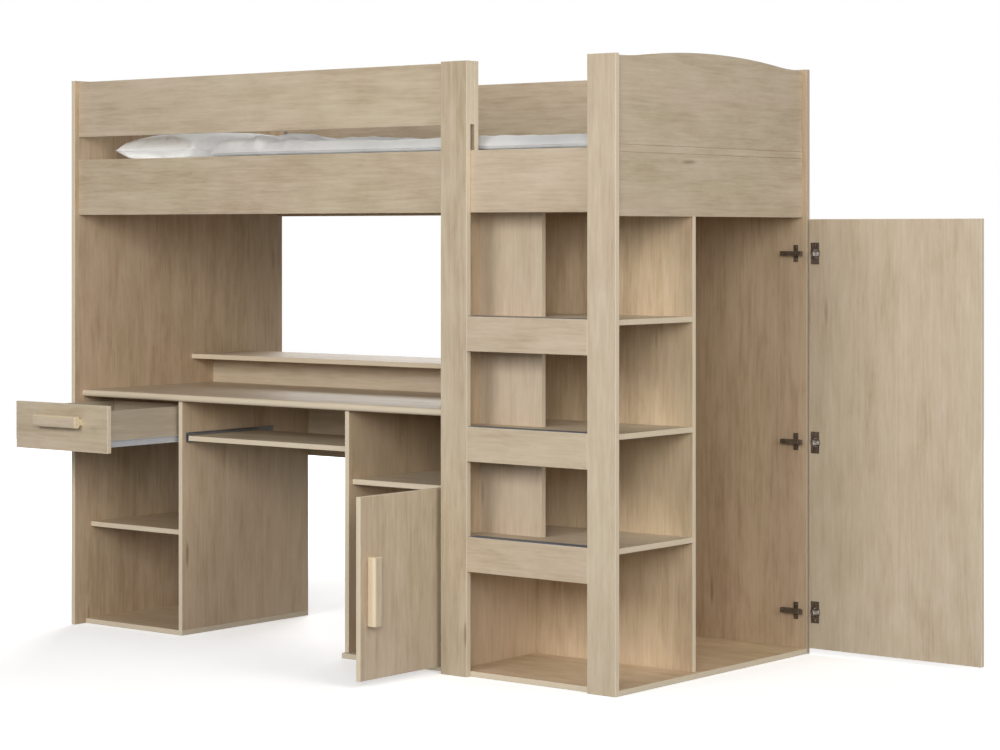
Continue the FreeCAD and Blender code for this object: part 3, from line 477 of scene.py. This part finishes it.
def inflate(thing, voxel, pressure, cap, frames=20):
    """Remesh, blow up as cloth without gravity, cap each point's move, and keep the result."""
    bpy.context.view_layer.objects.active = thing
    remesh = thing.modifiers.new("remesh", "REMESH")
    remesh.mode = "VOXEL"
    remesh.voxel_size = voxel
    depsgraph = bpy.context.evaluated_depsgraph_get()
    mesh = bpy.data.meshes.new_from_object(thing.evaluated_get(depsgraph))
    thing.modifiers.clear()
    thing.data = mesh
    start = [v.co.copy() for v in mesh.vertices]
    cloth = thing.modifiers.new("cloth", "CLOTH")
    cloth.settings.use_pressure = True
    cloth.settings.uniform_pressure_force = pressure
    cloth.settings.effector_weights.gravity = 0
    cloth.settings.tension_stiffness = 12
    cloth.settings.compression_stiffness = 12
    cloth.settings.bending_stiffness = 0.4
    cloth.settings.quality = 6
    scene = bpy.context.scene
    for number in range(1, frames + 1):
        scene.frame_set(number)
    depsgraph = bpy.context.evaluated_depsgraph_get()
    mesh = bpy.data.meshes.new_from_object(thing.evaluated_get(depsgraph))
    for vertex, was in zip(mesh.vertices, start):
        move = vertex.co - was
        if move.length > cap:
            vertex.co = was + move * (cap / move.length)
    thing.modifiers.clear()
    thing.data = mesh
    scene.frame_set(1)


def settle(thing, floor, ceiling, low, high, soft=0.006):
    """Press a piece gently into the room between a floor and a ceiling, and inside a box."""
    for vertex in thing.data.vertices:
        co = vertex.co
        if co.z < floor + soft:
            pressed = soft * math.exp((co.z - floor - soft) / soft)
            co.z = floor + pressed * 0.5 + max(0.0, co.z - floor) * 0.5
        co.z = max(floor, min(ceiling, co.z))
        co.x = max(low[0], min(high[0], co.x))
        co.y = max(low[1], min(high[1], co.y))


def subdivide_once(thing):
    """One level of subdivision, smooth shaded."""
    modifier = thing.modifiers.new("smooth", "SUBSURF")
    modifier.levels = modifier.render_levels = 1
    thing.data.shade_smooth()


def smoothstep(value, low, high):
    """A smooth rise from 0 at low to 1 at high."""
    value = max(0.0, min(1.0, (value - low) / (high - low)))
    return value * value * (3 - 2 * value)


def tube(name, points, radius, material):
    """A thin round cord in a closed loop through points, as piping."""
    curve = bpy.data.curves.new(name, "CURVE")
    curve.dimensions = "3D"
    curve.bevel_depth = radius
    curve.bevel_resolution = 2
    spline = curve.splines.new("POLY")
    spline.points.add(len(points) - 1)
    for point, place in zip(spline.points, points):
        point.co = (*place, 1)
    spline.use_cyclic_u = True
    source = bpy.data.objects.new(name + "_line", curve)
    mesh = bpy.data.meshes.new_from_object(source)
    bpy.data.objects.remove(source)
    bpy.data.curves.remove(curve)
    mesh.name = name
    thing = bpy.data.objects.new(name, mesh)
    bpy.context.scene.collection.objects.link(thing)
    mesh.materials.clear()
    mesh.materials.append(material)
    mesh.shade_smooth()
    return thing


TICKING = cotton("mattress_ticking", srgb(238, 238, 236), srgb(226, 226, 225), 900, 0.15)
PILLOW_CLOTH = cotton("pillow_cotton", srgb(248, 248, 246), srgb(240, 240, 239), 1400, 0.25)
DUVET_CLOTH = cotton("duvet_cotton", srgb(209, 209, 207), srgb(199, 199, 198), 1300, 0.2, 1.6)

# the mattress: quilted top and base, plain side border, piping on both edges
mattress_low, mattress_high = (Vector(corner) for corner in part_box("mattress"))
mattress_centre = (mattress_low + mattress_high) / 2
CROWN = 2.5 * MM
RIM = 22 * MM
EDGE_DROP = 9 * MM
CORNER = 45 * MM
BORDER_INSET = 2 * MM
BORDER_BULGE = 1.6 * MM
FACE_INSET = 1 * MM
QUILT = 115 * MM
QUILT_DEEP = 4 * MM
QUILT_LINE = 9 * MM
PIPING_RADIUS = 2.6 * MM


def quilt_depth(x, y):
    """How far the quilting pulls the ticking in: lines on a diamond grid."""
    depth = 0.0
    for across in (x + y, x - y):
        off = abs((across / QUILT) % 1 - 0.5) * QUILT
        depth = max(depth, math.exp(-(off / QUILT_LINE) ** 2))
    return QUILT_DEEP * depth


def mattress_face(is_top):
    """The quilted cover: a grid bounded by the border's rounded outline."""
    bm = bmesh.new()
    columns, rows = 190, 86
    face = mattress_high.z if is_top else mattress_low.z
    sign = 1 if is_top else -1
    centre = mattress_centre
    half_x = (mattress_high.x - mattress_low.x) / 2 - BORDER_INSET
    half_y = (mattress_high.y - mattress_low.y) / 2 - BORDER_INSET
    grid = []
    for i in range(columns + 1):
        line = []
        for j in range(rows + 1):
            u, v = 2 * i / columns - 1, 2 * j / rows - 1
            x, y = u * half_x, v * half_y
            over_x, over_y = abs(x) - (half_x - CORNER), abs(y) - (half_y - CORNER)
            if over_x > 0 and over_y > 0:
                reach = max(over_x, over_y)
                length = math.hypot(over_x, over_y)
                x = math.copysign(half_x - CORNER + over_x / length * reach, x)
                y = math.copysign(half_y - CORNER + over_y / length * reach, y)
            inset = min(half_x - abs(x), half_y - abs(y))
            if over_x > 0 and over_y > 0:
                inset = CORNER - max(over_x, over_y)
            roll = max(0.0, 1 - inset / RIM)
            drop = EDGE_DROP * (1 - math.sqrt(max(0.0, 1 - roll * roll)))
            drop += (1 - roll) * quilt_depth(centre.x + x, centre.y + y)
            crown = CROWN * (1 - u * u) * (1 - v * v)
            z = face - sign * (CROWN - crown + drop + FACE_INSET)
            line.append(bm.verts.new((centre.x + x, centre.y + y, z)))
        grid.append(line)
    for i in range(columns):
        for j in range(rows):
            bm.faces.new((grid[i][j], grid[i + 1][j], grid[i + 1][j + 1], grid[i][j + 1]))
    return bm, grid


def build_mattress():
    """The whole cover: two quilted faces joined by the side border, and the loops for the piping."""
    bm, grid = mattress_face(True)
    other, other_grid = mattress_face(False)
    lower = {}
    for vertex in other.verts:
        lower[vertex] = bm.verts.new(vertex.co)
    for piece in other.faces:
        bm.faces.new([lower[v] for v in piece.verts])

    def rim(lines):
        last_i, last_j = len(lines) - 1, len(lines[0]) - 1
        loop = [lines[i][0] for i in range(last_i)]
        loop += [lines[last_i][j] for j in range(last_j)]
        loop += [lines[i][last_j] for i in range(last_i, 0, -1)]
        return loop + [lines[0][j] for j in range(last_j, 0, -1)]

    top_rim = rim(grid)
    low_rim = [lower[v] for v in rim(other_grid)]
    levels = 8
    previous = low_rim
    for level in range(1, levels):
        share = level / levels
        ring = []
        for a, b in zip(low_rim, top_rim):
            co = a.co.lerp(b.co, share)
            out = Vector((co.x - mattress_centre.x, co.y - mattress_centre.y, 0))
            co += out.normalized() * BORDER_BULGE * math.sin(math.pi * share)
            ring.append(bm.verts.new(co))
        for k in range(len(ring)):
            n = (k + 1) % len(ring)
            bm.faces.new((previous[k], previous[n], ring[n], ring[k]))
        previous = ring
    for k in range(len(top_rim)):
        n = (k + 1) % len(top_rim)
        bm.faces.new((previous[k], previous[n], top_rim[n], top_rim[k]))
    pipes = [[v.co.copy() for v in loop] for loop in (top_rim, low_rim)]
    other.free()
    bmesh.ops.recalc_face_normals(bm, faces=bm.faces)
    return mesh_object("mattress_quilted", bm, TICKING), pipes


mattress, pipes = build_mattress()
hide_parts("mattress")
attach(mattress, "frame")
for place, points in zip(("top", "bottom"), pipes):
    kept = points[::2]
    for p in kept:
        p.z = min(max(p.z, mattress_low.z + EDGE_DROP), mattress_high.z - EDGE_DROP)
    piping = tube("mattress_piping_" + place, kept, PIPING_RADIUS, PILLOW_CLOTH)
    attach(piping, "frame")

# the pillow: two panels sewn at a rim, with pulled-in sides and pointed corners
pillow_low, pillow_high = (Vector(corner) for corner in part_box("pillow"))
pillow_centre = (pillow_low + pillow_high) / 2
SEAM_LIFT = 27 * MM
PILLOW_TOP = 92 * MM
PILLOW_CEILING = 102 * MM
# the panels start this much smaller, because the simulation swells them
SWELL_SIDE = 6 * MM
SWELL_TOP = 12 * MM
SWELL_BASE = 2 * MM
DENT = 7 * MM
RIPPLE = 5 * MM
# how far a soft piece stays above what it lies on
REST_GAP = 0.4 * MM


def pillow_point(u, v, is_top):
    """A point of the pillow's upper or lower panel, u and v from 0 to 1 across it."""
    a, b = 2 * u - 1, 2 * v - 1
    half_x = (pillow_high.x - pillow_low.x) / 2 - SWELL_SIDE
    half_y = (pillow_high.y - pillow_low.y) / 2 - SWELL_SIDE
    x = a * half_x * (1 - 0.075 * (1 - b * b) * abs(a) ** 3)
    y = b * half_y * (1 - 0.045 * (1 - a * a) * abs(b) ** 3)
    full = (max(0.0, 1 - abs(a) ** 2.4) * max(0.0, 1 - abs(b) ** 3.0)) ** 0.62
    if is_top:
        ripple = RIPPLE * noise.noise(Vector((x * 9, y * 7, 1.7))) * full
        dent = DENT * math.exp(-((a + 0.1) ** 2 / 0.25 + (b - 0.15) ** 2 / 0.35))
        rise = (PILLOW_TOP - SEAM_LIFT - SWELL_TOP) * full - dent + ripple
    else:
        rise = -(SEAM_LIFT - SWELL_BASE) * full
    return Vector((pillow_centre.x + x, pillow_centre.y + y, pillow_low.z + SEAM_LIFT + rise))


bm = closed_sheet(54, 84, lambda u, v: pillow_point(u, v, True), lambda u, v: pillow_point(u, v, False))
pillow = mesh_object("pillow_soft", bm, PILLOW_CLOTH)
inflate(pillow, voxel=5.5 * MM, pressure=4.0, cap=16 * MM)
settle(pillow, pillow_low.z + REST_GAP, pillow_low.z + PILLOW_CEILING, pillow_low, pillow_high)
subdivide_once(pillow)
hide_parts("pillow")
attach(pillow, "frame")


def seam_line(thing, centre, count=150):
    """The outermost points of a soft piece, seen from above, at its rim."""
    best = [None] * count
    for vertex in thing.data.vertices:
        x, y = vertex.co.x - centre.x, vertex.co.y - centre.y
        slot = int((math.atan2(y, x) + math.pi) / (2 * math.pi) * count) % count
        if best[slot] is None or math.hypot(x, y) > best[slot][0]:
            best[slot] = (math.hypot(x, y), vertex.co.copy())
    found = [b[1] for b in best if b]
    size = len(found)
    return [(found[k - 1] + found[k] * 2 + found[(k + 1) % size]) / 4 for k in range(size)]


seam = tube("pillow_seam", seam_line(pillow, pillow_centre), 1.9 * MM, PILLOW_CLOTH)
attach(seam, "frame")

# the duvet: a soft filled quilt, its head end turned back and rumpled
duvet_low, duvet_high = (Vector(corner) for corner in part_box("duvet"))
duvet_centre = (duvet_low + duvet_high) / 2
FLAT = 33 * MM
FOLDED = 30 * MM
DUVET_INSET = 4 * MM
DUVET_RIM = 45 * MM
RIM_LIFT = 8 * MM


def duvet_point(u, v, is_top):
    """A point of the duvet's upper or lower side: u from the head end, v from the front."""
    long, wide = duvet_high.x - duvet_low.x, duvet_high.y - duvet_low.y
    x = duvet_low.x + DUVET_INSET + u * (long - 2 * DUVET_INSET)
    y = duvet_low.y + DUVET_INSET + v * (wide - 2 * DUVET_INSET)
    rim = min(1.0, min(u, 1 - u) * long / DUVET_RIM) * min(1.0, min(v, 1 - v) * wide / DUVET_RIM)
    full = math.sqrt(max(0.0, 1 - (1 - rim) ** 2))
    base = duvet_low.z + RIM_LIFT * (1 - full)
    if not is_top:
        return Vector((x, y, base))
    d = u * long
    turned = 1 - smoothstep(d, 0.19 + 0.03 * math.sin(v * 9), 0.245 + 0.03 * math.sin(v * 9))
    head = math.exp(-(d / 0.45) ** 2)
    broad = noise.noise(Vector((x * 2.1, y * 2.6, 3.3)))
    fold = 1 - abs(noise.noise(Vector((x * 6.5 + y * 2.8, y * 3.1 - x * 1.2, 8.1))))
    crease = 1 - abs(noise.noise(Vector((x * 15 + y * 6, y * 9, 2.4))))
    lift = FLAT * (0.72 + 0.28 * full) + turned * FOLDED * (0.55 + 0.45 * smoothstep(v, 0.0, 0.35))
    lift += 7 * MM * broad + (9 * MM * head + 3.5 * MM) * (fold ** 5 - 0.35)
    lift += (5 * MM * head + 2 * MM) * (crease ** 7 - 0.2)
    return Vector((x, y, base + lift * full))


bm = closed_sheet(260, 150, lambda u, v: duvet_point(u, v, True), lambda u, v: duvet_point(u, v, False))
duvet = mesh_object("duvet_quilt", bm, DUVET_CLOTH)
inflate(duvet, voxel=9 * MM, pressure=3.0, cap=9 * MM, frames=16)
settle(duvet, duvet_low.z + REST_GAP, duvet_high.z, duvet_low, duvet_high)
subdivide_once(duvet)
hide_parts("duvet")
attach(duvet, "frame")
hem = tube("duvet_hem", seam_line(duvet, duvet_centre, 260), 1.7 * MM, DUVET_CLOTH)
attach(hem, "frame")


# ---- floor, light and camera ----

FLOOR_RADIUS = 9.0
GLOW_FROM, GLOW_TO = 1.5, 7.5
GLOW_LEAST, GLOW_MOST = 0.37, 1.0
FLOOR_DROP = 0.5 * MM

floor_mesh = bmesh.new()
bmesh.ops.create_circle(floor_mesh, cap_ends=True, segments=96, radius=FLOOR_RADIUS)
floor_tree = Tree("floor_pale")
speckle = floor_tree.noise(floor_tree.scaled((3, 3, 3)), 3.0)
floor_color = floor_tree.mix(floor_tree.spread(speckle, 0.4, 0.6), srgb(250, 250, 250), srgb(248, 248, 248))
# the glow grows outwards, where less of the lamps' light falls, so the floor is pale all over
out_x, out_y = floor_tree.position(X), floor_tree.position(Y)
far = floor_tree.math("SQRT", floor_tree.math("ADD", floor_tree.math("MULTIPLY", out_x, out_x),
                                              floor_tree.math("MULTIPLY", out_y, out_y)))
glow = floor_tree.spread(far, GLOW_FROM, GLOW_TO, GLOW_LEAST, GLOW_MOST)
floor_material = floor_tree.finish(floor_color, 0.9, Emission_Color=(1, 1, 1, 1))
floor = mesh_object("floor", floor_mesh, floor_material, False)
floor_shader = next(n for n in floor_tree.tree.nodes if n.type == "BSDF_PRINCIPLED")
floor_tree.put(floor_shader.inputs["Emission Strength"], glow)
floor.location.z = -FLOOR_DROP
floor.visible_diffuse = False

# soft light of one strength all round, in front of a plain white backdrop
AMBIENT = 0.165
world = bpy.data.worlds.new("studio")
world.use_nodes = True
nodes, links = world.node_tree.nodes, world.node_tree.links
ambient = nodes["Background"]
ambient.inputs["Color"].default_value = (1, 1, 1, 1)
ambient.inputs["Strength"].default_value = AMBIENT
backdrop = nodes.new("ShaderNodeBackground")
backdrop.inputs["Color"].default_value = (1, 1, 1, 1)
backdrop.inputs["Strength"].default_value = 1.0
seen = nodes.new("ShaderNodeLightPath")
either = nodes.new("ShaderNodeMixShader")
links.new(seen.outputs["Is Camera Ray"], either.inputs[0])
links.new(ambient.outputs[0], either.inputs[1])
links.new(backdrop.outputs[0], either.inputs[2])
links.new(either.outputs[0], nodes["World Output"].inputs["Surface"])
bpy.context.scene.world = world

AIM = Vector((0, 0, 0.9))
LIGHT_REACH = 8.0


def softbox(name, azimuth, elevation, size, power):
    """A square soft light, turned towards the middle of the object; azimuth 0 is straight in front."""
    turn, rise = math.radians(azimuth), math.radians(elevation)
    lamp = bpy.data.lights.new(name, "AREA")
    lamp.shape = "SQUARE"
    lamp.size = size
    lamp.energy = power
    thing = bpy.data.objects.new(name, lamp)
    away = Vector((math.sin(turn) * math.cos(rise), -math.cos(turn) * math.cos(rise), math.sin(rise)))
    thing.location = AIM + away * LIGHT_REACH
    thing.rotation_euler = (-away).to_track_quat("-Z", "Y").to_euler()
    thing.visible_camera = False
    bpy.context.scene.collection.objects.link(thing)


softbox("front_light", 0, 18, 3.0, 262)
softbox("key_light", 36, 14, 3.0, 258)
softbox("side_light", 72, 12, 3.0, 143)
softbox("high_side_light", 88, 38, 3.0, 121)
softbox("rear_light", 215, 30, 4.0, 330)

camera = bpy.data.cameras.new("camera")
camera.lens = 96.252
camera.sensor_width = 36
camera.shift_y = -0.14173
camera.clip_end = 200
view = bpy.data.objects.new("camera", camera)
view.location = (5.17955, -6.30235, 1.281)
view.rotation_euler = (math.radians(90), 0, math.radians(38.78))
bpy.context.scene.collection.objects.link(view)
bpy.context.scene.camera = view
bpy.context.scene.view_settings.view_transform = "Standard"
